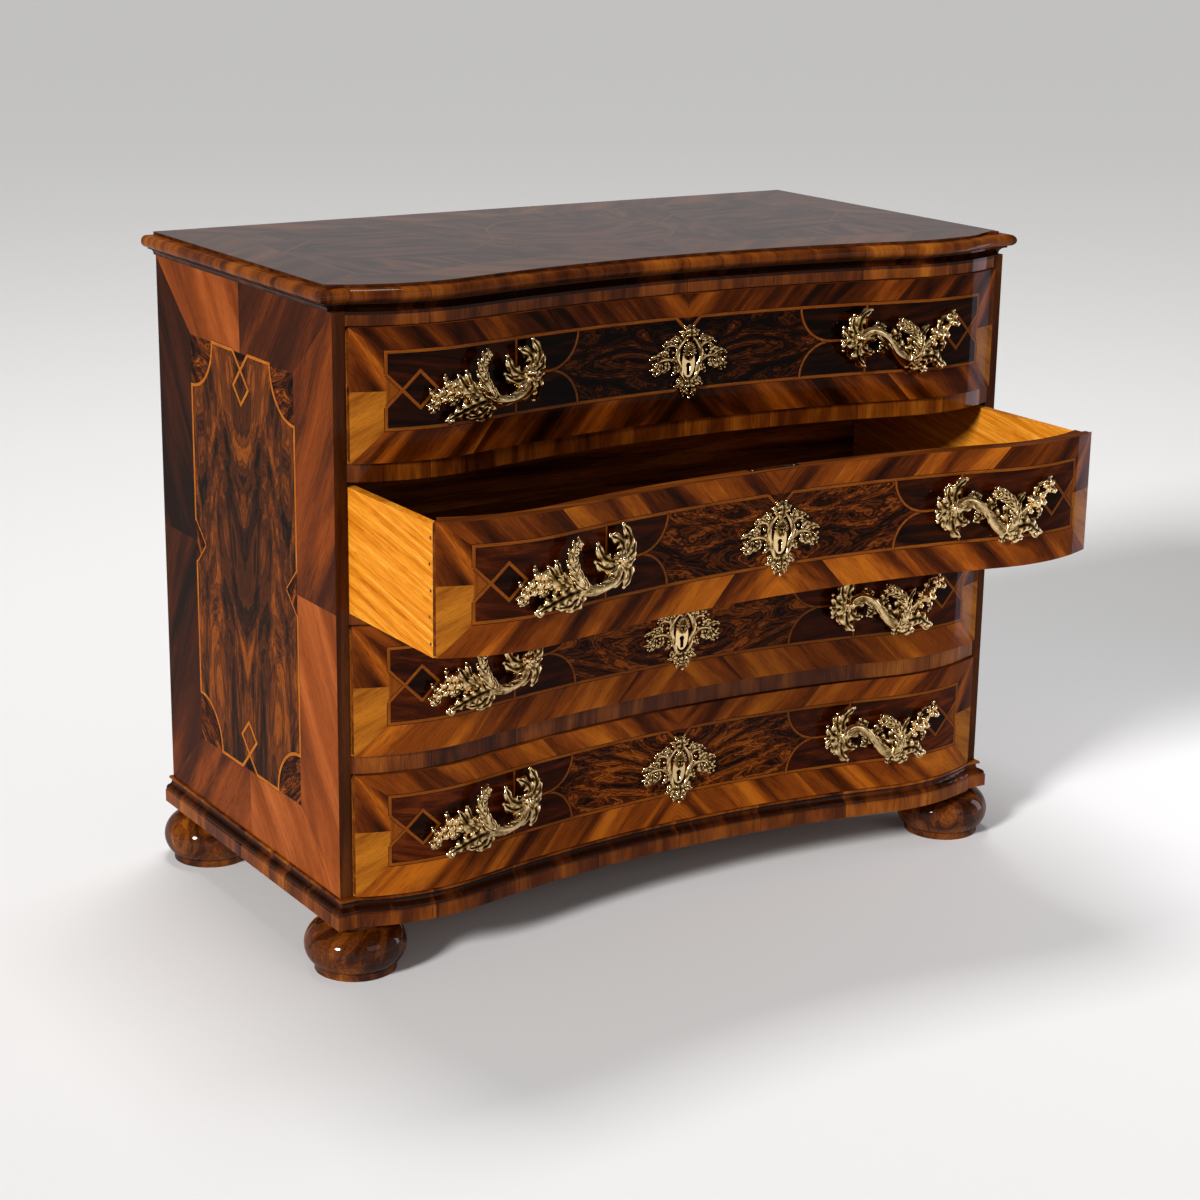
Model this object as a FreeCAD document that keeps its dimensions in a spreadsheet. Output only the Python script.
import FreeCAD, Part
import math
import os

import Sketcher
from FreeCAD import Placement, Rotation, Vector

# A commode with four long drawers behind a serpentine front, on turned bun feet.
# Millimetres.  +Z is up, +Y runs to the back, X is across the front.

document = FreeCAD.newDocument("commode")
sheet = document.addObject("Spreadsheet::Sheet", "sizes")

SIZES = {
    # carcase
    "case_width": 1200,
    "case_depth": 605,
    "panel_thick": 20,
    "post_depth": 50,
    "foot_high": 82.5,
    "plinth_high": 42.5,
    "rail_top_high": 19.5,
    "rail_1_high": 25.5,
    "rail_2_high": 16,
    "rail_3_high": 26,
    "rail_depth": 70,
    "tenon_long": 12,
    "tenon_wide": 25,
    "tenon_inset": 3,
    "tenon_setback": 18,
    "back_thick": 12,
    "back_rebate": 8,
    "bottom_thick": 20,
    "runner_wide": 30,
    "stop_wide": 40,
    "stop_deep": 30,
    "stop_high": 7,
    "stop_gap": 0.3,
    # the serpentine line of the drawer faces, from the front plane of the corner posts and
    # the ends of the carcase
    "swell_inset": 148,
    "swell_radius": 300,
    "swell_rise": 36,
    "hollow_depth": 14,
    "corner_block": 25,
    "rail_setback": 5,
    "top_setback": 20,
    "plinth_setback": 4,
    # top
    "top_board_thick": 23,
    "top_edge_high": 35.3,
    "back_overhang": 7,
    "top_lip": 40,
    "field_step": 4.5,
    "bullnose_radius": 9,
    "bullnose_reach": 21,
    "top_fillet": 3,
    "top_cove": 9.8,
    # plinth
    "plinth_reach": 12,
    "plinth_frame": 65,
    "plinth_rebate": 15,
    "fascia_high": 20,
    "ogee_radius": 6.5,
    "ogee_step": 1.5,
    "ogee_quirk": 2,
    "bead_radius": 2.5,
    # bun feet
    "foot_side_inset": 39.6,
    "foot_front_y": 32.2,
    "foot_back_inset": 57.1,
    "bun_radius": 76.2,
    "bun_core": 33.4,
    "bun_middle": 39.7,
    "bun_half_high": 35.9,
    "pad_radius": 61.4,
    "neck_radius": 47,
    "dowel_radius": 14,
    "dowel_long": 18,
    # drawers
    "drawer_1_high": 191,
    "drawer_2_high": 188,
    "drawer_3_high": 195,
    "drawer_4_high": 187,
    "drawer_1_open": 0,
    "drawer_2_open": 244,
    "drawer_3_open": 0,
    "drawer_4_open": 0,
    "reveal": 1.5,
    "side_gap": 1,
    "run_gap": 0.3,
    "front_thick": 26,
    "front_corner": 6,
    "side_thick": 14,
    "drawer_back_gap": 18,
    "side_drop": 6,
    "drawer_back_thick": 12,
    "drawer_back_drop": 12,
    "board_thick": 8,
    "board_lift": 9,
    "groove_deep": 5,
    # locks
    "lock_wide": 80,
    "lock_high": 132,
    "lock_thick": 14,
    "lock_wall": 2,
    "selvedge_wide": 90,
    "selvedge_thick": 2,
    "bolt_wide": 20,
    "bolt_thick": 6,
    "bolt_high": 25,
    "bolt_travel": 9,
    "bolt_gap": 0.3,
    "mortise_gap": 1,
    "keyhole_radius": 4.5,
    "keyhole_slot": 6,
    "keyhole_drop": 15,
    "keyhole_below": 12,
    # castings, drawn on a grid of squares
    "pattern_square": 1,
    "handle_inset": 72,
    "handle_turn": 7.5,
    "handle_chord_y": -21,
    "grip_stand": 27,
    "leaf_stand": 19,
    "leaf_ridge": 3.2,
    "leaf_back": 2,
    "post_radius": 3,
    "post_gap": 0.2,
    "nut_radius": 6.5,
    "nut_high": 4,
    "nut_recess": 2,
    "escutcheon_thick": 2.4,
    "escutcheon_gap": 0.2,
    "mask_half_wide": 9,
    "mask_half_high": 12.5,
    "mask_relief": 7,
    # where the front plane of the posts lies in the part's own frame
    "front_plane_y": 0,
}

for row, (alias, number) in enumerate(SIZES.items(), start=1):
    sheet.set(f"A{row}", alias)
    sheet.set(f"B{row}", str(number))
    sheet.setAlias(f"B{row}", alias)
document.recompute()


# ---------------------------------------------------------------- sizes as numbers and expressions

class Amount:
    """A size, as a number and as the sheet expression that gives it."""

    def __init__(self, value, text=None):
        self.value = value
        self.text = text if text is not None else repr(value)

    def __add__(self, other):
        other = amount(other)
        return Amount(self.value + other.value, f"({self.text} + {other.text})")

    def __sub__(self, other):
        other = amount(other)
        return Amount(self.value - other.value, f"({self.text} - {other.text})")

    def __mul__(self, other):
        other = amount(other)
        return Amount(self.value * other.value, f"({self.text} * {other.text})")

    def __truediv__(self, other):
        other = amount(other)
        return Amount(self.value / other.value, f"({self.text} / {other.text})")

    def __neg__(self):
        return Amount(-self.value, f"(0 - {self.text})")

    def squared(self):
        return self * self

    def root(self):
        return Amount(math.sqrt(self.value), f"sqrt({self.text})")


def amount(number):
    return number if isinstance(number, Amount) else Amount(number)


def size(alias):
    return Amount(float(sheet.get(alias)), f"sizes.{alias}")


def bind(item, **properties):
    """Set each property from a size and keep it bound to the sheet."""
    for name, given in properties.items():
        path = name.replace("Placement_", "Placement.Base.")
        item.setExpression(path, amount(given).text)


ZERO = Amount(0)
NO_SETBACK = Amount(0)
DIAGONAL = Amount(math.sqrt(0.5), "sqrt(0.5)")

# places that follow the carcase: across from the middle plane, and back from the posts
SWELL_X = size("case_width") / 2 - size("swell_inset")
HANDLE_X = SWELL_X - size("handle_inset")
FOOT_X = size("case_width") / 2 - size("foot_side_inset")
FOOT_BACK = size("case_depth") - size("foot_back_inset")
SIDE_LONG = size("case_depth") - size("back_thick") - size("drawer_back_gap")


# ---------------------------------------------------------------- solids

def box(name, corner, extent):
    """A board from its lowest corner and its extent along X, Y and Z."""
    board = document.addObject("Part::Box", name)
    bind(board, Length=extent[0], Width=extent[1], Height=extent[2])
    bind(board, Placement_x=corner[0], Placement_y=corner[1], Placement_z=corner[2])
    return board


def fuse(name, pieces):
    whole = document.addObject("Part::MultiFuse", name)
    whole.Shapes = pieces
    return whole


def cut(name, base, tools):
    rest = document.addObject("Part::Cut", name)
    rest.Base = base
    rest.Tool = tools[0] if len(tools) == 1 else fuse(name + "_cutters", tools)
    return rest


def common(name, base, tool):
    shared = document.addObject("Part::Common", name)
    shared.Base = base
    shared.Tool = tool
    return shared


def mirrored(name, source):
    """The same piece on the other side of the middle plane."""
    twin = document.addObject("Part::Mirroring", name)
    twin.Source = source
    twin.Normal = Vector(1, 0, 0)
    return twin


def group(name, pieces):
    """Separate solids that share one node."""
    cluster = document.addObject("Part::Compound", name)
    cluster.Links = pieces
    return cluster


nodes = []


def node(item, label):
    """Name a finished sub-part."""
    item.Label = label
    nodes.append(item)
    return item


# ---------------------------------------------------------------- sketches

def pin_point(sketch, index, end, x, y):
    """Hold one point of a sketch at two sizes measured from its origin."""
    for kind, axis, given in (("DistanceX", -2, x), ("DistanceY", -1, y)):
        if given is None:
            continue
        if given is ZERO:
            sketch.addConstraint(Sketcher.Constraint("PointOnObject", index, end, axis))
            continue
        rule = sketch.addConstraint(Sketcher.Constraint(kind, -1, 1, index, end, given.value))
        sketch.setExpression(f"Constraints[{rule}]", given.text)


def set_radius(sketch, index, radius):
    rule = sketch.addConstraint(Sketcher.Constraint("Radius", index, radius.value))
    sketch.setExpression(f"Constraints[{rule}]", radius.text)


def join_ends(sketch, first, first_end, second, second_end):
    sketch.addConstraint(Sketcher.Constraint("Coincident", first, first_end, second, second_end))


def arc_between(start, finish, radius, clockwise):
    """A short arc of a given radius from one point to the other."""
    chord = finish - start
    half = chord.Length / 2
    rise = math.sqrt(max(radius * radius - half * half, 0))
    side = Vector(-chord.y, chord.x, 0).normalize() * (-1 if clockwise else 1)
    centre = start + chord / 2 + side * rise
    from_angle = math.atan2(start.y - centre.y, start.x - centre.x)
    to_angle = math.atan2(finish.y - centre.y, finish.x - centre.x)
    if clockwise:
        from_angle, to_angle = to_angle, from_angle
    return Part.ArcOfCircle(Part.Circle(centre, Vector(0, 0, 1), radius), from_angle, to_angle)


def closed_outline(sketch, corners):
    """Lines and arcs through sized corners.  A corner is (x, y) or (x, y, radius, turn): the
    stretch that leaves it is then an arc, and turn says "left", "right" or, for an upright
    half circle, "half"."""
    points = [Vector(amount(c[0]).value, amount(c[1]).value, 0) for c in corners]
    count = len(corners)
    ends = []
    for index, corner in enumerate(corners):
        start, finish = points[index], points[(index + 1) % count]
        if len(corner) == 2:
            sketch.addGeometry(Part.LineSegment(start, finish), False)
            ends.append((1, 2))
        else:
            clockwise = corner[3] == "right"
            sketch.addGeometry(arc_between(start, finish, corner[2].value, clockwise), False)
            ends.append((2, 1) if clockwise else (1, 2))
    for index, corner in enumerate(corners):
        following = (index + 1) % count
        join_ends(sketch, index, ends[index][1], following, ends[following][0])
        pin_point(sketch, index, ends[index][0], corner[0], corner[1])
        if len(corner) > 2 and corner[3] == "half":
            pin_point(sketch, index, 3, corner[0], None)
        elif len(corner) > 2:
            set_radius(sketch, index, corner[2])


def swell_numbers(setback):
    """Numbers of a line that runs a setback behind the drawer faces: the swell's radius, the
    hollow's centre and radius, and the point where the two arcs meet."""
    swell_x = SWELL_X.value
    centre_y = size("swell_radius").value - size("swell_rise").value
    radius = size("swell_radius").value - setback
    depth = size("hollow_depth").value + size("swell_rise").value
    both = (swell_x * swell_x + depth * depth) / (2 * depth)
    hollow_radius = both - size("swell_radius").value + setback
    hollow_centre = centre_y - math.sqrt(both * both - swell_x * swell_x)
    share = radius / both
    meeting = Vector(swell_x * (1 - share), centre_y - share * (centre_y - hollow_centre), 0)
    return radius, centre_y, hollow_radius, hollow_centre, meeting


def face_y(x, setback=0.0):
    """Where the drawer faces, or a line behind them, stand at a distance from the middle."""
    radius, centre_y, hollow_radius, hollow_centre, meeting = swell_numbers(setback)
    if abs(x) <= meeting.x:
        return hollow_centre + math.sqrt(hollow_radius ** 2 - x * x)
    return centre_y - math.sqrt(radius ** 2 - (abs(x) - SWELL_X.value) ** 2)


def end_y(setback, x):
    """The same for the swell alone, as a size that stays bound to the sheet."""
    radius = size("swell_radius") - setback
    run = x - SWELL_X
    return size("swell_radius") - size("swell_rise") - (radius.squared() - run.squared()).root()


def half_swell(sketch, setback, end_x):
    """The right half of the serpentine line: the hollow from the middle plane, then the swell,
    meeting in a tangent.  Returns the two arcs."""
    radius, centre_y, hollow_radius, hollow_centre, meeting = swell_numbers(setback.value)
    middle = Vector(0, hollow_centre, 0)
    swell_middle = Vector(SWELL_X.value, centre_y, 0)
    run = end_x.value - swell_middle.x
    end_point = Vector(end_x.value, centre_y - math.sqrt(radius ** 2 - run ** 2), 0)
    meet_angle = math.atan2(meeting.y - middle.y, meeting.x)
    hollow_circle = Part.Circle(middle, Vector(0, 0, 1), hollow_radius)
    hollow = sketch.addGeometry(Part.ArcOfCircle(hollow_circle, meet_angle, math.pi / 2), False)
    start_angle = math.atan2(meeting.y - swell_middle.y, meeting.x - swell_middle.x)
    end_angle = math.atan2(end_point.y - swell_middle.y, end_point.x - swell_middle.x)
    swell_circle = Part.Circle(swell_middle, Vector(0, 0, 1), radius)
    swell = sketch.addGeometry(Part.ArcOfCircle(swell_circle, start_angle, end_angle), False)
    sketch.addConstraint(Sketcher.Constraint("Tangent", hollow, 1, swell, 1))
    sketch.addConstraint(Sketcher.Constraint("PointOnObject", hollow, 3, -2))
    pin_point(sketch, hollow, 2, ZERO, size("hollow_depth") + setback)
    pin_point(sketch, swell, 3, SWELL_X, size("swell_radius") - size("swell_rise"))
    set_radius(sketch, swell, size("swell_radius") - setback)
    pin_point(sketch, swell, 2, end_x, None)
    return hollow, swell


def line_to(sketch, start, finish):
    return sketch.addGeometry(Part.LineSegment(start, finish), False)


def serpentine_board(name, setback, half_width, high, back_y=None, thick=None):
    """A board with a serpentine front edge, whole across the piece.  Its back is straight at
    back_y, or follows the front at a constant thickness."""
    body = document.addObject("PartDesign::Body", name)
    planes = {plane.Role: plane for plane in body.Origin.OriginFeatures}
    sketch = body.newObject("Sketcher::SketchObject", name + "_outline")
    sketch.AttachmentSupport = (planes["XY_Plane"], [""])
    sketch.MapMode = "FlatFace"
    hollow, swell = half_swell(sketch, setback, half_width)
    front_end = sketch.Geometry[swell].EndPoint
    front_middle = sketch.Geometry[hollow].EndPoint
    if thick is None:
        back_end = Vector(half_width.value, back_y.value, 0)
        back_middle = Vector(0, back_y.value, 0)
        end = line_to(sketch, front_end, back_end)
        back = line_to(sketch, back_end, back_middle)
        middle = line_to(sketch, back_middle, front_middle)
        join_ends(sketch, end, 2, back, 1)
        join_ends(sketch, back, 2, middle, 1)
        pin_point(sketch, back, 1, half_width, back_y)
        pin_point(sketch, back, 2, ZERO, back_y)
    else:
        inner_hollow, inner_swell = half_swell(sketch, setback + thick, half_width)
        end = line_to(sketch, front_end, sketch.Geometry[inner_swell].EndPoint)
        middle = line_to(sketch, sketch.Geometry[inner_hollow].EndPoint, front_middle)
        join_ends(sketch, end, 2, inner_swell, 2)
        join_ends(sketch, inner_hollow, 2, middle, 1)
    join_ends(sketch, swell, 2, end, 1)
    join_ends(sketch, middle, 2, hollow, 2)
    pad = body.newObject("PartDesign::Pad", name + "_half")
    pad.Profile = sketch
    bind(pad, Length=high)
    twin = body.newObject("PartDesign::Mirrored", name + "_whole")
    twin.Originals = [pad]
    twin.MirrorPlane = (planes["YZ_Plane"], [""])
    body.Tip = twin
    return body


def section_sketch(name, rotation, corners, x, y, z):
    """A moulding's section, stood upright at a place."""
    sketch = document.addObject("Sketcher::SketchObject", name)
    closed_outline(sketch, corners)
    sketch.Placement = Placement(Vector(), rotation)
    bind(sketch, Placement_x=x, Placement_y=y, Placement_z=z)
    return sketch


FACING_FRONT = Rotation(Vector(0, -1, 0), Vector(0, 0, 1), Vector(-1, 0, 0), "XYZ")
FACING_RIGHT = Rotation(Vector(1, 0, 0), Vector(0, 0, 1), Vector(0, -1, 0), "XYZ")


def extrude(name, sketch, direction, length):
    run = document.addObject("Part::Extrusion", name)
    run.Base = sketch
    run.DirMode = "Custom"
    run.Dir = direction
    run.Solid = True
    bind(run, LengthFwd=length)
    return run


MITRE_REACH = Amount(160)
PAST_ALL = Amount(1200)


def mitre_cutter(name, corner_y, keeps_front):
    """A block on one side of the mitre plane at the right front corner."""
    block = document.addObject("Part::Box", name)
    block.Placement = Placement(Vector(), Rotation(Vector(0, 0, 1), -45))
    slide = DIAGONAL * MITRE_REACH
    base_x = size("case_width") / 2 - slide
    base_y = corner_y + slide
    if not keeps_front:
        base_x = base_x - slide
        base_y = base_y - slide
    bind(block, Length=MITRE_REACH * 2, Width=MITRE_REACH, Height=PAST_ALL)
    bind(block, Placement_x=base_x, Placement_y=base_y)
    return block


def framed_moulding(name, corners, setback, base_z):
    """A moulding round the front and both sides: a serpentine front run, two straight corner
    blocks mitred to two side runs.  Returns its five solids."""
    block_x = size("case_width") / 2 - size("corner_block")
    corner_y = FRONT + end_y(setback, block_x)
    path = document.addObject("Sketcher::SketchObject", name + "_path")
    half_swell(path, setback, block_x + size("plinth_frame"))
    bind(path, Placement_y=FRONT, Placement_z=base_z)
    middle_y = FRONT + size("hollow_depth") + setback
    profile = section_sketch(name + "_section", FACING_FRONT, corners, ZERO, middle_y, base_z)
    document.recompute()
    half = document.addObject("Part::Sweep", name + "_half")
    half.Sections = [profile]
    half.Spine = (path, ["Edge1", "Edge2"])
    half.Solid = True
    both = fuse(name + "_both", [half, mirrored(name + "_other_half", half)])
    between = box(name + "_between", (-block_x, FRONT - PAST_ALL / 2, ZERO),
                  (block_x * 2, PAST_ALL, PAST_ALL))
    front_run = common(name + "_front_run", both, between)
    block_section = section_sketch(name + "_block_section", FACING_FRONT, corners,
                                   block_x, corner_y, base_z)
    block = extrude(name + "_block", block_section, Vector(1, 0, 0), MITRE_REACH)
    corner = cut(name + "_corner", block, [mitre_cutter(name + "_mitre_front", corner_y, True)])
    side_section = section_sketch(name + "_side_section", FACING_RIGHT, corners,
                                  size("case_width") / 2, corner_y - MITRE_REACH, base_z)
    back_y = FRONT + size("case_depth") + size("back_overhang")
    side = extrude(name + "_side", side_section, Vector(0, 1, 0), back_y - corner_y + MITRE_REACH)
    behind = mitre_cutter(name + "_mitre_side", corner_y, False)
    side_run = cut(name + "_side_run", side, [behind, front_run])
    return [front_run, corner, side_run, mirrored(name + "_corner_left", corner),
            mirrored(name + "_side_run_left", side_run)]


# ---------------------------------------------------------------- castings

SQUARE = size("pattern_square").value
LEAF_RIDGE = size("leaf_ridge").value
LEAF_BACK = size("leaf_back").value
LEAF_STAND = size("leaf_stand").value
GRIP_STAND = size("grip_stand").value
TIP_STAND = LEAF_STAND - 5 * SQUARE
LEAF_WIDTHS = (9, 11, 7, 1.5)
SMALL_WIDTHS = (6, 7, 1.5)
CURL_WIDTHS = (5, 8, 9, 5)
KNOB_SIDES = 8


def skinned(rings):
    """A closed solid of flat triangles over rings of equally many points, with flat ends."""
    faces = [Part.Face(Part.makePolygon(ring + ring[:1])) for ring in (rings[0], rings[-1])]
    count = len(rings[0])
    for ring, following in zip(rings, rings[1:]):
        for index in range(count):
            beside = (index + 1) % count
            low, high = ring[index], ring[beside]
            low_next, high_next = following[index], following[beside]
            faces.append(Part.Face(Part.makePolygon([low, high, low_next, low])))
            faces.append(Part.Face(Part.makePolygon([high, high_next, low_next, high])))
    solid = Part.Solid(Part.makeShell(faces))
    return solid if solid.Volume > 0 else solid.reversed()


def frond(points, widths, ridge, back):
    """A tapering leaf along a Bezier line through space, with a ridge on its face.  Local X runs
    across the drawer, Z up and -Y away from the drawer.  X, Z and the widths are in squares."""
    curve = Part.BezierCurve()
    curve.setPoles([Vector(x * SQUARE, y, z * SQUARE) for x, y, z in points])
    rings = []
    last = len(widths) - 1
    for index, width in enumerate(widths):
        place = index / last
        spot = curve.value(place)
        along = curve.tangent(place)[0]
        across = Vector(along.z, 0, -along.x).normalize() * (width * SQUARE / 2)
        lift = min(1.0, width / 6)
        rings.append([spot + across, spot + Vector(0, -ridge * lift, 0), spot - across,
                      spot + Vector(0, back * lift, 0)])
    return skinned(rings)


def boss(x, z, stand, radius, deep):
    """A faceted round knob on the face of a casting, in squares."""
    rings = []
    for reach, level in ((radius * 0.7, deep / 3), (radius, 0), (radius * 0.55, -deep * 2 / 3)):
        turns = [2 * math.pi * k / KNOB_SIDES for k in range(KNOB_SIDES)]
        rings.append([Vector((x + reach * math.cos(turn)) * SQUARE, level * SQUARE - stand,
                             (z + reach * math.sin(turn)) * SQUARE) for turn in turns])
    return skinned(rings)


def curled(root, tip, bow, widths, stand, tip_stand):
    """A frond from a root to a tip that bows to one side and dips towards the drawer."""
    span = Vector(tip[0] - root[0], 0, tip[1] - root[1])
    aside = Vector(-span.z, 0, span.x) * bow
    middle = Vector(root[0], 0, root[1]) + span * 0.55 + aside
    lift = LEAF_RIDGE * 0.8
    points = [(root[0], -stand, root[1]), (middle.x, -stand - lift, middle.z),
              (tip[0], -tip_stand, tip[1])]
    return frond(points, widths, LEAF_RIDGE, LEAF_BACK)


def leaves_round(centre, tips, bow):
    """Leaves from one root out to each tip, all bowed the same way round."""
    return [curled(centre, tip, bow, LEAF_WIDTHS, LEAF_STAND, TIP_STAND) for tip in tips]


def buds_along(points, first, last):
    """A garland of buds that shrink towards its end, on a thin stem."""
    buds = []
    for index, (x, z) in enumerate(points):
        share = index / (len(points) - 1)
        buds.append(boss(x, z, TIP_STAND + 2, first + (last - first) * share, 6))
    stem = [(x, -TIP_STAND - 1, z) for x, z in points]
    buds.append(frond(stem, (7, 6, 5, 3), LEAF_RIDGE, LEAF_BACK))
    return buds


def left_casting_pieces():
    """A bowl-shaped grip between a fan of leaves and a curled horn, with a garland behind."""
    fan = (75, 13)
    pieces = leaves_round(fan, [(37, 39), (35, 4), (61, 46), (84, 58), (99, 34), (101, -5),
                                (85, -28), (60, -24)], -0.16)
    pieces.append(boss(fan[0], fan[1], LEAF_STAND, 13, 8))
    grip = [(72, -LEAF_STAND, -2), (52, -GRIP_STAND, -26), (22, -GRIP_STAND, -30),
            (4, -GRIP_STAND + 2, -10), (-12, -LEAF_STAND, -4)]
    pieces.append(frond(grip, (15, 14, 13, 13, 15, 15), 6, 5))
    horn = [(4, -LEAF_STAND - 3, -14), (-20, -LEAF_STAND - 5, 10), (-22, -LEAF_STAND - 4, 36),
            (3, -LEAF_STAND, 46)]
    pieces.append(frond(horn, (17, 13, 10, 9, 3), 5, 3))
    pieces.append(curled((2, 46), (-4, 27), -0.3, CURL_WIDTHS, LEAF_STAND, LEAF_STAND))
    leaf_root = (6, -16)
    pieces += leaves_round(leaf_root, [(-47, 20), (-30, 16), (-13, -46), (9, -41)], 0.12)
    scroll = [(4, -LEAF_STAND, -20), (-34, -LEAF_STAND - 3, -16), (-48, -LEAF_STAND, -28),
              (-68, -TIP_STAND, -39)]
    pieces.append(frond(scroll, (14, 15, 13, 10, 2), LEAF_RIDGE + 1, LEAF_BACK))
    pieces.append(curled((-42, -28), (-45, -46), 0.2, SMALL_WIDTHS, LEAF_STAND, TIP_STAND))
    pieces += buds_along([(-38, 6), (-56, 5), (-72, -3), (-90, -12)], 9, 5)
    pieces.append(curled((-60, 2), (-66, 17), 0.2, SMALL_WIDTHS, TIP_STAND, TIP_STAND - 2))
    pieces.append(curled((-76, -6), (-102, -20), 0.1, SMALL_WIDTHS, TIP_STAND, TIP_STAND - 2))
    return pieces


def right_casting_pieces():
    """A slanting S-shaped grip between a fan of leaves and a hooked horn with a flower."""
    fan = (-84, 10)
    pieces = leaves_round(fan, [(-115, 6), (-94, 43), (-64, 52), (-52, 31), (-58, -14),
                                (-73, -33), (-98, -20)], 0.16)
    pieces.append(boss(fan[0], fan[1], LEAF_STAND, 13, 8))
    grip = [(-80, -LEAF_STAND, 12), (-52, -GRIP_STAND, 30), (-38, -GRIP_STAND, 0),
            (-12, -GRIP_STAND, -38), (16, -LEAF_STAND - 2, -32)]
    pieces.append(frond(grip, (15, 13, 12, 13, 14, 15), 6, 5))
    horn = [(10, -LEAF_STAND - 2, -34), (24, -LEAF_STAND - 5, -8), (14, -LEAF_STAND - 4, 20),
            (-19, -LEAF_STAND, 30)]
    pieces.append(frond(horn, (16, 13, 10, 9, 3), 5, 3))
    pieces.append(curled((-18, 30), (-4, 17), 0.3, CURL_WIDTHS, LEAF_STAND, LEAF_STAND))
    leaf_root = (18, -26)
    pieces += leaves_round(leaf_root, [(23, 14), (30, 8), (36, 20), (24, -52)], 0.08)
    scroll = [(14, -LEAF_STAND, -30), (34, -LEAF_STAND - 3, -18), (52, -LEAF_STAND, -24),
              (71, -TIP_STAND, -42)]
    pieces.append(frond(scroll, (14, 14, 12, 10, 2), LEAF_RIDGE + 1, LEAF_BACK))
    pieces.append(curled((48, -26), (50, -45), -0.2, SMALL_WIDTHS, LEAF_STAND, TIP_STAND))
    pieces += buds_along([(26, -12), (44, 2), (59, 9), (84, 22)], 7, 5)
    pieces.append(boss(59, 8, TIP_STAND + 3, 9, 7))
    pieces.append(curled((62, 12), (75, 31), 0.2, SMALL_WIDTHS, TIP_STAND, TIP_STAND - 2))
    pieces.append(curled((80, 18), (88, 36), 0.2, SMALL_WIDTHS, TIP_STAND, TIP_STAND - 2))
    pieces.append(curled((56, 4), (66, -16), 0.2, SMALL_WIDTHS, TIP_STAND, TIP_STAND - 2))
    return pieces


def inner_depth(x, side):
    """How far behind a casting's own plane the inner face of the drawer front stands."""
    across = side * HANDLE_X.value + x
    chord_slope = math.tan(math.radians(side * -size("handle_turn").value))
    chord = size("handle_chord_y").value + chord_slope * x
    return face_y(across, size("front_thick").value) - chord


POST_SPOTS = {"left": ((75, 13), (-14, -10)), "right": ((-84, 10), (24, -24))}
SIDE_SIGN = {"left": -1, "right": 1}


def post_places(side):
    return [(x * SQUARE, z * SQUARE) for x, z in POST_SPOTS[side]]


def casting_shape(side):
    """A casting with its two posts in one piece, and the nut of each post."""
    pieces = left_casting_pieces() if side == "left" else right_casting_pieces()
    radius = size("post_radius").value
    nuts = []
    for x, z in post_places(side):
        seat = inner_depth(x, SIDE_SIGN[side]) - size("nut_recess").value
        high = size("nut_high").value
        start = Vector(x, -LEAF_STAND, z)
        pieces.append(Part.makeCylinder(radius, seat + high + LEAF_STAND, start, Vector(0, 1, 0)))
        hexagon = [Vector(x, seat, z) + Rotation(Vector(0, 1, 0), 60 * k).multVec(
            Vector(size("nut_radius").value, 0, 0)) for k in range(7)]
        blank = Part.Face(Part.makePolygon(hexagon)).extrude(Vector(0, high, 0))
        nuts.append(blank.cut(Part.makeCylinder(radius, high, Vector(x, seat, z), Vector(0, 1, 0))))
    whole = pieces[0].multiFuse(pieces[1:]).removeSplitter()
    return whole, nuts


def bore_shape(side):
    """What the castings' posts and nuts take out of a drawer front."""
    holes = []
    radius = size("post_radius").value + size("post_gap").value
    for x, z in post_places(side):
        seat = inner_depth(x, SIDE_SIGN[side]) - size("nut_recess").value
        long = size("front_thick").value * 2
        holes.append(Part.makeCylinder(radius, long, Vector(x, seat - long, z), Vector(0, 1, 0)))
        wide = size("nut_radius").value + size("post_gap").value
        holes.append(Part.makeCylinder(wide, long, Vector(x, seat, z), Vector(0, 1, 0)))
    return holes[0].multiFuse(holes[1:])


KEY_RUN = 100


def keyhole_prism(front_y, long, bottom):
    """The keyhole's outline run back through wood or metal.  Its middle is at X = 0, Z = 0."""
    radius = size("keyhole_radius").value
    half = size("keyhole_slot").value / 2
    head = Part.makeCylinder(radius, long, Vector(0, front_y, 0), Vector(0, 1, 0))
    slot = Part.makeBox(2 * half, long, bottom, Vector(-half, front_y, -bottom))
    return head.fuse(slot)


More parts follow.
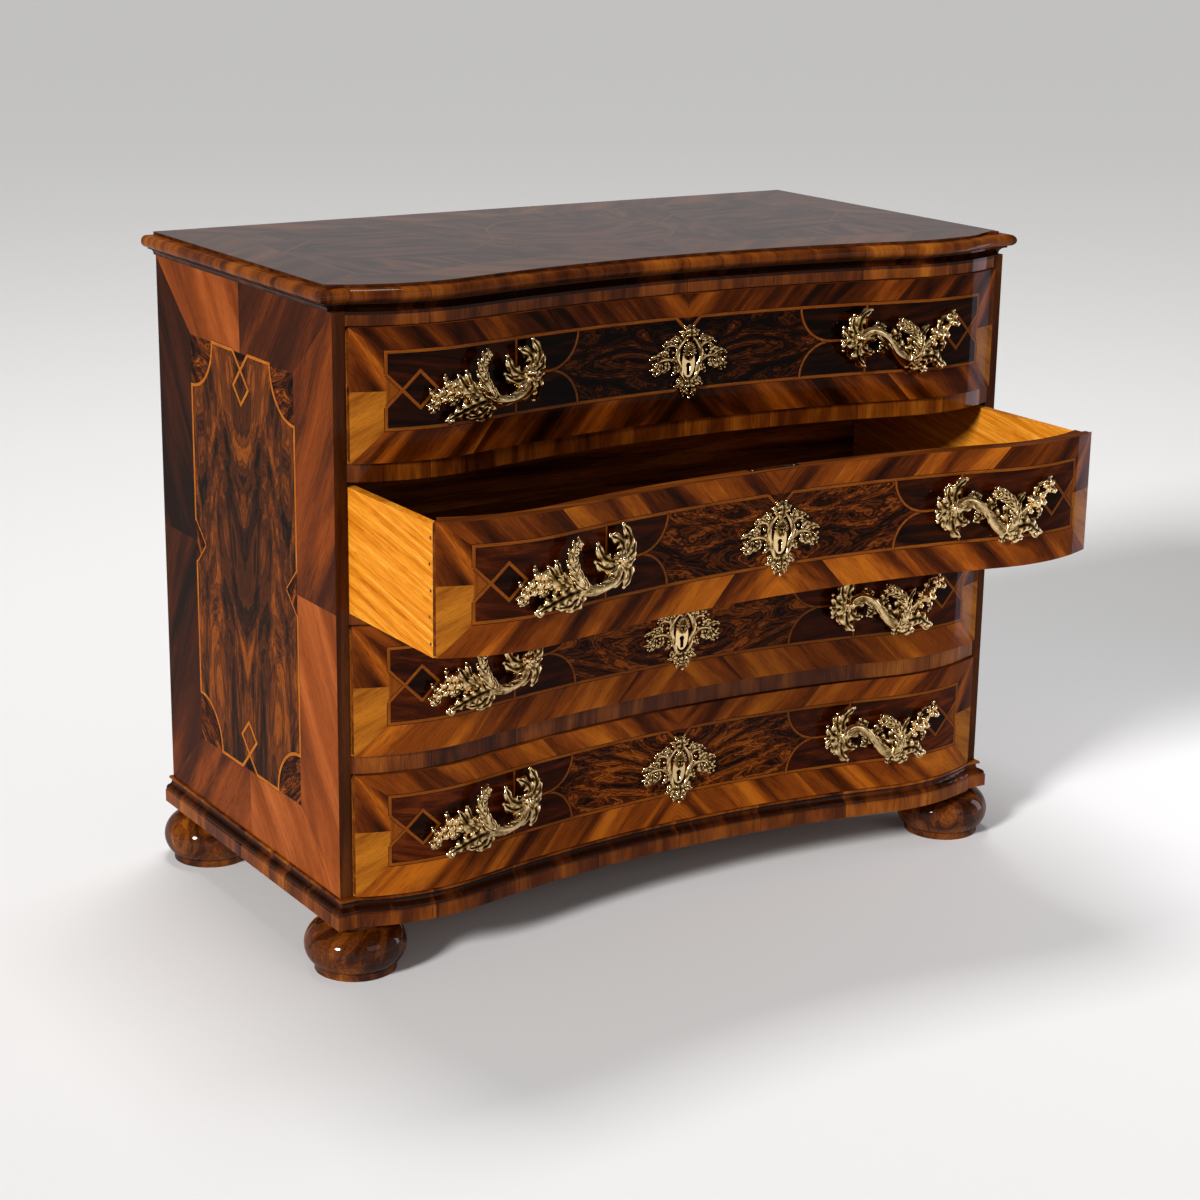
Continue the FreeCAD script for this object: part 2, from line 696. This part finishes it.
def escutcheon_shape():
    """A lozenge-shaped cartouche: leafy arms each side, a plume above, a pendant below, and a
    plain mask over the keyhole.  X = 0, Z = 0 is the middle of the keyhole's round head."""
    thick = size("escutcheon_thick").value
    right = []
    arms = [((14, 20), (22, 44)), ((18, 16), (46, 34)), ((20, 8), (69, 12)), ((18, 4), (66, -6)),
            ((20, 0), (50, -4)), ((14, -4), (27, -8)), ((10, -10), (22, -24))]
    for root, tip in arms:
        right.append(curled(root, tip, 0.16, (9, 10, 6, 1.5), thick, thick))
    plume = [curled((0, 34), (0, 63), 0.0, (16, 15, 8, 2), thick, thick),
             curled((6, 32), (13, 50), -0.2, (8, 8, 2), thick, thick)]
    pendant = [curled((0, -14), (0, -46), 0.0, (18, 12, 14, 2), thick, thick),
               curled((2, -30), (13, -38), 0.2, (7, 6, 2), thick, thick)]
    right += plume[1:] + pendant[1:]
    left = [piece.mirror(Vector(), Vector(1, 0, 0)) for piece in right]
    oval = Part.Ellipse(Vector(0, 14 * SQUARE, 0), 27 * SQUARE, 22 * SQUARE)
    frame = Part.Face(Part.Wire(oval.toShape()))
    frame.rotate(Vector(), Vector(1, 0, 0), 90)
    frame.rotate(Vector(0, 0, 14 * SQUARE), Vector(0, 1, 0), 90)
    plate = frame.extrude(Vector(0, -thick, 0))
    rings = []
    for step, swell in ((-1.0, 0.35), (-0.6, 0.85), (0.0, 1.0), (0.55, 0.95), (1.0, 0.45)):
        wide = size("mask_half_wide").value * swell
        relief = size("mask_relief").value * swell
        level = 18 * SQUARE + step * size("mask_half_high").value
        ring = [Vector(wide * math.cos(math.pi * k / 4), -thick / 2 - relief * max(0, math.sin(
            math.pi * k / 4)), level) for k in range(5)]
        rings.append(ring)
    mask = skinned(rings)
    whole = plate.multiFuse(right + left + plume[:1] + pendant[:1] + [mask])
    behind = Part.makeBox(KEY_RUN * 2, KEY_RUN, KEY_RUN * 2, Vector(-KEY_RUN, 0, -KEY_RUN))
    hole = keyhole_prism(-KEY_RUN, KEY_RUN * 2, size("keyhole_drop").value)
    return whole.cut(behind).cut(hole).removeSplitter()


casting = {side: casting_shape(side) for side in ("left", "right")}
bores = {side: bore_shape(side) for side in ("left", "right")}
escutcheon = escutcheon_shape()


def turned(side):
    return Rotation(Vector(0, 0, 1), -SIDE_SIGN[side] * size("handle_turn").value)


def handle_reach():
    """How far the castings stand in front of the posts' plane."""
    lowest = 0.0
    for side in ("left", "right"):
        shape = casting[side][0].copy()
        shape.Placement = Placement(Vector(0, size("handle_chord_y").value, 0), turned(side))
        lowest = min(lowest, shape.BoundBox.YMin)
    return -lowest


# The part's origin is the middle of its box, on the floor.
back_edge = max(size("case_depth").value + size("back_overhang").value,
                FOOT_BACK.value + size("bun_radius").value)
front_edge = -size("drawer_2_open").value - handle_reach()
plane_row = list(SIZES).index("front_plane_y") + 1
sheet.set(f"B{plane_row}", str(round(-(back_edge + front_edge) / 2, 3)))
document.recompute()

FRONT = size("front_plane_y")
HALF = size("case_width") / 2
PLINTH_TOP = size("foot_high") + size("plinth_high")


# ---------------------------------------------------------------- levels

def opening_high(number):
    return size(f"drawer_{number}_high") + size("reveal") * 2


RAIL_NAMES = {1: "rail_top", 2: "rail_1", 3: "rail_2", 4: "rail_3"}
floor_of = {4: PLINTH_TOP}
rail_base = {}
for number in (4, 3, 2, 1):
    rail_base[number] = floor_of[number] + opening_high(number)
    if number > 1:
        floor_of[number - 1] = rail_base[number] + size(RAIL_NAMES[number] + "_high")
CASE_TOP = rail_base[1] + size("rail_top_high")
CASE_HIGH = CASE_TOP - PLINTH_TOP


# ---------------------------------------------------------------- carcase

def lock_place(number):
    """The top edge of a closed drawer's front, and the middle of its bolt."""
    top = floor_of[number] + size("reveal") + size(f"drawer_{number}_high")
    inner = FRONT + size("hollow_depth") + size("front_thick")
    return top, inner - size("lock_thick") / 2


def build_rails():
    """Each rail is tenoned into both posts and mortised for the bolt of the lock below it."""
    inner_x = HALF - size("panel_thick")
    tenons = []
    for number, name in RAIL_NAMES.items():
        high = size(name + "_high")
        body = serpentine_board(name + "_board", size("rail_setback"), inner_x, high,
                                back_y=size("rail_depth"))
        bind(body, Placement_y=FRONT, Placement_z=rail_base[number])
        inset = size("tenon_inset")
        tenon = box(name + "_tenon",
                    (inner_x, FRONT + size("tenon_setback"), rail_base[number] + inset),
                    (size("tenon_long"), size("tenon_wide"), high - inset * 2))
        tenons.append(tenon)
        whole = fuse(name + "_tenoned", [body, tenon, mirrored(name + "_tenon_left", tenon)])
        middle_y = lock_place(number)[1]
        wide = size("bolt_wide") + size("mortise_gap") * 2
        deep = size("bolt_thick") + size("mortise_gap") * 2
        mortise = box(name + "_mortise", (-wide / 2, middle_y - deep / 2, rail_base[number]),
                      (wide, deep, size("bolt_travel") + size("mortise_gap")))
        node(cut(name, whole, [mortise]), name)
    return tenons


def build_sides_and_posts(tenons):
    post = box("post_blank", (HALF - size("panel_thick"), FRONT, PLINTH_TOP),
               (size("panel_thick"), size("post_depth"), CASE_HIGH))
    right_post = node(cut("post_right", post, tenons), "corner_post_right")
    node(mirrored("post_left", right_post), "corner_post_left")
    panel = box("side_blank", (HALF - size("panel_thick"), FRONT + size("post_depth"), PLINTH_TOP),
                (size("panel_thick"), size("case_depth") - size("post_depth"), CASE_HIGH))
    rebate = box("side_rebate",
                 (HALF - size("panel_thick"), FRONT + size("case_depth") - size("back_thick"),
                  PLINTH_TOP),
                 (size("back_rebate"), size("back_thick"), CASE_HIGH))
    right_side = node(cut("panel_right", panel, [rebate]), "side_right")
    node(mirrored("panel_left", right_side), "side_left")


BACK_BOARDS = 3


def build_back():
    """Upright pine boards let into the sides' rebates."""
    half = HALF - size("panel_thick") + size("back_rebate")
    wide = half * 2 / BACK_BOARDS
    boards = []
    for index in range(BACK_BOARDS):
        corner = (wide * index - half, FRONT + size("case_depth") - size("back_thick"), PLINTH_TOP)
        boards.append(box(f"back_board_{index + 1}", corner, (wide, size("back_thick"), CASE_HIGH)))
    node(group("backs", boards), "back_boards")


def build_runners():
    """A runner behind each rail and a kicker under the top, on both sides."""
    inner_x = HALF - size("panel_thick")
    start = FRONT + size("rail_depth")
    long = size("case_depth") - size("back_thick") - size("rail_depth")
    bars = []
    for number, name in RAIL_NAMES.items():
        corner = (inner_x - size("runner_wide"), start, rail_base[number])
        bars.append(box(name + "_runner", corner, (size("runner_wide"), long, size(name + "_high"))))
    right = node(group("runners_r", bars), "runners_right")
    node(mirrored("runners_l", right), "runners_left")


def build_stops():
    """Blocks that meet the inner faces of the closed fronts at the crowns of the swells."""
    radius = size("swell_radius") - size("front_thick")
    half = size("stop_wide") / 2
    crown = size("swell_radius") - size("swell_rise") - (radius.squared() - half.squared()).root()
    blocks = []
    for number in floor_of:
        corner = (SWELL_X - half, FRONT + crown + size("stop_gap"), floor_of[number])
        block = box(f"stop_{number}", corner,
                    (size("stop_wide"), size("stop_deep"), size("stop_high")))
        blocks += [block, mirrored(f"stop_{number}_left", block)]
    node(group("stops", blocks), "drawer_stops")


def build_top():
    """A veneered board, and the bullnose moulding round its front and sides."""
    block_x = HALF - size("corner_block")
    back = size("case_depth") + size("back_overhang")
    middle = serpentine_board("top_middle", size("top_setback"), block_x, size("top_board_thick"),
                              back_y=back)
    board_z = CASE_TOP + size("top_edge_high") - size("top_board_thick")
    bind(middle, Placement_y=FRONT, Placement_z=board_z)
    edge_y = end_y(size("top_setback"), block_x)
    strip = box("top_end", (block_x, FRONT + edge_y, board_z),
                (size("corner_block"), back - edge_y, size("top_board_thick")))
    node(fuse("top", [middle, strip, mirrored("top_end_left", strip)]), "top_board")
    lip = -size("top_lip")
    under = size("top_edge_high") - size("top_board_thick")
    nose = size("bullnose_radius")
    shoulder = size("top_edge_high") - size("field_step")
    neck = size("bullnose_reach") - nose
    base = neck - size("top_fillet") / 2
    corners = [
        (lip, ZERO),
        (base - size("top_cove"), ZERO, size("top_cove"), "right"),
        (base, size("top_cove")),
        (base, shoulder - nose * 2),
        (neck, shoulder - nose * 2, nose, "half"),
        (neck, shoulder),
        (ZERO, shoulder),
        (ZERO, under),
        (lip, under),
    ]
    runs = framed_moulding("top_edge", corners, size("top_setback"), CASE_TOP)
    batten_deep = size("post_depth") / 2
    batten_x = HALF - size("top_lip")
    batten = box("top_batten", (-batten_x, FRONT + back - batten_deep, CASE_TOP),
                 (batten_x * 2, batten_deep, under))
    node(group("top_edges", runs + [batten]), "top_moulding")


def build_plinth():
    """A moulded frame under the carcase, rebated for the bottom board."""
    inner = -size("plinth_frame")
    shoulder = inner + size("plinth_rebate")
    high = size("plinth_high")
    ledge = high - size("bottom_thick")
    reach = size("plinth_reach")
    fascia = size("fascia_high")
    ogee = size("ogee_radius")
    bead = size("bead_radius")
    bead_low = high - bead * 2
    edge = reach - size("ogee_step")
    quirk = fascia + size("ogee_quirk")
    corners = [
        (inner, ZERO),
        (reach, ZERO),
        (reach, fascia),
        (edge, fascia),
        (edge, quirk, ogee, "left"),
        (edge - ogee, quirk + ogee, ogee, "right"),
        (bead / 2, bead_low),
        (bead, bead_low, bead, "half"),
        (bead, high),
        (shoulder, high),
        (shoulder, ledge),
        (inner, ledge),
    ]
    runs = framed_moulding("plinth_edge", corners, size("plinth_setback"), size("foot_high"))
    frame = size("plinth_frame")
    back = FRONT + size("case_depth") + size("back_overhang")
    rail = box("plinth_back_blank", (-HALF + frame, back - frame, size("foot_high")),
               (HALF * 2 - frame * 2, frame, high))
    rebate = box("plinth_back_rebate", (-HALF + frame, back - frame, size("foot_high") + ledge),
                 (HALF * 2 - frame * 2, size("plinth_rebate"), size("bottom_thick")))
    sockets = foot_dowels("plinth_socket")
    solids = []
    for index, run in enumerate(runs + [cut("plinth_back", rail, [rebate])]):
        solids.append(cut(f"plinth_run_{index + 1}", run, sockets))
    node(group("plinth_frame_runs", solids), "plinth")
    bottom = serpentine_board("bottom_panel", size("plinth_setback") - shoulder, HALF + shoulder,
                              size("bottom_thick"),
                              back_y=size("case_depth") + size("back_overhang") + shoulder)
    bind(bottom, Placement_y=FRONT, Placement_z=size("foot_high") + ledge)
    node(bottom, "bottom_board")


FOOT_FRONT = size("foot_front_y")
FOOT_SPOTS = {"front_left": (-1, FOOT_FRONT), "front_right": (1, FOOT_FRONT),
              "back_left": (-1, FOOT_BACK), "back_right": (1, FOOT_BACK)}


def foot_dowels(name):
    pegs = []
    for spot, (sign, depth) in FOOT_SPOTS.items():
        peg = document.addObject("Part::Cylinder", f"{name}_{spot}")
        bind(peg, Radius=size("dowel_radius"), Height=size("dowel_long"))
        bind(peg, Placement_x=FOOT_X * sign, Placement_y=FRONT + depth,
             Placement_z=size("foot_high"))
        pegs.append(peg)
    return pegs


def build_foot(spot, sign, depth):
    """A turned bun on a flat pad, with a neck under the plinth and a dowel into it."""
    body = document.addObject("PartDesign::Body", "foot_" + spot)
    planes = {plane.Role: plane for plane in body.Origin.OriginFeatures}
    sketch = body.newObject("Sketcher::SketchObject", "foot_section_" + spot)
    sketch.AttachmentSupport = (planes["XZ_Plane"], [""])
    sketch.MapMode = "FlatFace"
    middle, half_high = size("bun_middle"), size("bun_half_high")
    core, bun = size("bun_core"), size("bun_radius")
    neck, pad = size("neck_radius"), size("pad_radius")
    radius = (half_high.squared() + (bun - core).squared()) / ((bun - core) * 2)

    def bun_level(reach):
        """How far above or below the bun's middle its side has a given radius."""
        return (radius.squared() - (reach - bun + radius).squared()).root()

    corners = [
        (ZERO, ZERO),
        (pad, ZERO),
        (pad, middle - bun_level(pad), radius, "left"),
        (neck, middle + bun_level(neck)),
        (neck, size("foot_high")),
        (size("dowel_radius"), size("foot_high")),
        (size("dowel_radius"), size("foot_high") + size("dowel_long")),
        (ZERO, size("foot_high") + size("dowel_long")),
    ]
    closed_outline(sketch, corners)
    turning = body.newObject("PartDesign::Revolution", "foot_turning_" + spot)
    turning.Profile = sketch
    turning.ReferenceAxis = (sketch, ["V_Axis"])
    turning.Angle = 360
    body.Tip = turning
    bind(body, Placement_x=FOOT_X * sign, Placement_y=FRONT + depth)
    node(body, "foot_" + spot)


# ---------------------------------------------------------------- drawers

def round_front_corners(body, half_width, high):
    """Round the four corners of a drawer front, seen from the front."""
    document.recompute()
    squared_off = body.Tip
    names = []
    for index, edge in enumerate(squared_off.Shape.Edges, start=1):
        middle = edge.CenterOfMass
        at_end = abs(abs(middle.x) - half_width.value) < 0.01
        at_level = abs(middle.z) < 0.01 or abs(middle.z - high.value) < 0.01
        if at_end and at_level:
            names.append(f"Edge{index}")
    fillet = body.newObject("PartDesign::Fillet", body.Name + "_corners")
    fillet.Base = (squared_off, names)
    bind(fillet, Radius=size("front_corner"))
    body.Tip = fillet


def cast_feature(name, shape, place):
    """A shape made in local coordinates, set in its place."""
    item = document.addObject("Part::Feature", name)
    item.Shape = shape
    item.Placement = place
    return item


def build_drawer(number):
    name = f"drawer_{number}"
    high = size(f"{name}_high")
    front = FRONT - size(f"{name}_open")
    base = floor_of[number] + size("reveal")
    run = floor_of[number] + size("run_gap")
    half = HALF - size("panel_thick") - size("side_gap")
    side_x = half - size("side_thick")
    side_top = base + high - size("side_drop")
    board_z = run + size("board_lift")
    rear = front + SIDE_LONG

    # bottom board, in grooves of the sides and front
    board = serpentine_board(name + "_panel", size("front_thick") - size("groove_deep"),
                             side_x + size("groove_deep"), size("board_thick"),
                             back_y=SIDE_LONG)
    bind(board, Placement_y=front, Placement_z=board_z)
    node(board, name + "_bottom")

    # sides, lapped behind the ends of the front
    side = box(name + "_side", (side_x, front, run),
               (size("side_thick"), SIDE_LONG, side_top - run))
    right = node(cut(name + "_side_r", side, [board]), name + "_side_right")
    node(mirrored(name + "_side_l", right), name + "_side_left")

    # back, on the bottom board and between the sides
    back_z = board_z + size("board_thick")
    node(box(name + "_rear", (-side_x, rear - size("drawer_back_thick"), back_z),
             (side_x * 2, size("drawer_back_thick"), side_top - size("drawer_back_drop") - back_z)),
         name + "_back")

    # front, with its lock, keyhole and the bores of the castings
    body = serpentine_board(name + "_face", NO_SETBACK, half, high, thick=size("front_thick"))
    round_front_corners(body, half, high)
    bind(body, Placement_y=front, Placement_z=base)
    lap = box(name + "_lap", (side_x, front, base - size("reveal")),
              (size("side_thick") * 2, size("front_thick") * 4, high + size("reveal") * 2))
    lock_y = front + size("hollow_depth") + size("front_thick") - size("lock_thick")
    top = base + high
    lock_base = top - size("lock_high")
    recess = box(name + "_lock_recess", (-size("lock_wide") / 2, lock_y, lock_base),
                 (size("lock_wide"), size("lock_thick") * 2, size("lock_high")))
    sunk = box(name + "_selvedge_sinking",
               (-size("selvedge_wide") / 2, lock_y, top - size("selvedge_thick")),
               (size("selvedge_wide"), size("lock_thick") * 2, size("selvedge_thick") * 2))
    middle_z = base + high / 2
    key_z = middle_z - size("keyhole_below")
    key_place = Placement(Vector(0, front.value, key_z.value), Rotation())
    key_drop = size("keyhole_drop").value
    through = keyhole_prism(-KEY_RUN, KEY_RUN * 2, key_drop)
    keyhole = cast_feature(name + "_keyhole", through, key_place)
    tools = [board, lap, mirrored(name + "_lap_left", lap), recess, sunk, keyhole]
    places = {}
    for side_name in ("left", "right"):
        x = SIDE_SIGN[side_name] * HANDLE_X.value
        y = front.value + size("handle_chord_y").value
        places[side_name] = Placement(Vector(x, y, middle_z.value), turned(side_name))
        tools.append(cast_feature(f"{name}_bores_{side_name}", bores[side_name], places[side_name]))
    node(cut(name + "_front_cut", body, tools), name + "_front")

    # lock
    case = box(name + "_lock_blank", (-size("lock_wide") / 2, lock_y, lock_base),
               (size("lock_wide"), size("lock_thick"), size("lock_high")))
    selvedge = box(name + "_selvedge",
                   (-size("selvedge_wide") / 2, lock_y, top - size("selvedge_thick")),
                   (size("selvedge_wide"), size("lock_thick"), size("selvedge_thick")))
    gap = size("bolt_gap")
    bolt_y = lock_y + size("lock_thick") / 2 - size("bolt_thick") / 2
    slot = box(name + "_bolt_slot",
               (-size("bolt_wide") / 2 - gap, bolt_y - gap, top - size("bolt_high") - gap),
               (size("bolt_wide") + gap * 2, size("bolt_thick") + gap * 2, size("bolt_high") * 2))
    key_reach = size("hollow_depth") + size("front_thick") - size("lock_wall")
    key_way = cast_feature(name + "_key_way", keyhole_prism(0, key_reach.value, key_drop),
                           key_place)
    node(cut(name + "_lock", fuse(name + "_lock_metal", [case, selvedge]), [slot, key_way]),
         name + "_lock_case")
    node(box(name + "_bolt", (-size("bolt_wide") / 2, bolt_y, top - size("bolt_high")),
             (size("bolt_wide"), size("bolt_thick"), size("bolt_high"))), name + "_lock_bolt")

    # castings
    for side_name in ("left", "right"):
        whole, nuts = casting[side_name]
        node(cast_feature(f"{name}_casting_{side_name}", Part.makeCompound([whole] + nuts),
                          places[side_name]), f"{name}_handle_{side_name}")
    flat = front.value + size("hollow_depth").value - size("escutcheon_gap").value
    node(cast_feature(name + "_cartouche", escutcheon,
                      Placement(Vector(0, flat, key_z.value), Rotation())), name + "_escutcheon")


# ---------------------------------------------------------------- build

rail_tenons = build_rails()
build_sides_and_posts(rail_tenons)
build_back()
build_runners()
build_stops()
build_top()
build_plinth()
for foot_spot, (foot_sign, foot_depth) in FOOT_SPOTS.items():
    build_foot(foot_spot, foot_sign, foot_depth)
for drawer_number in (1, 2, 3, 4):
    build_drawer(drawer_number)
document.recompute()


def check_and_export():
    """Stop on any failed feature or unsound shape, then write one file for each sub-part."""
    for item in document.Objects:
        if "Invalid" in item.State or "Error" in item.State:
            raise RuntimeError(f"{item.Label} failed: {item.State}")
    for item in nodes:
        if item.Shape.isNull() or not item.Shape.isValid():
            raise RuntimeError(f"{item.Label} has no sound shape")
    os.makedirs("parts", exist_ok=True)
    for item in nodes:
        item.Shape.exportStep(f"parts/{item.Label}.step")
    print(len(nodes), "sub-parts written")


check_and_export()
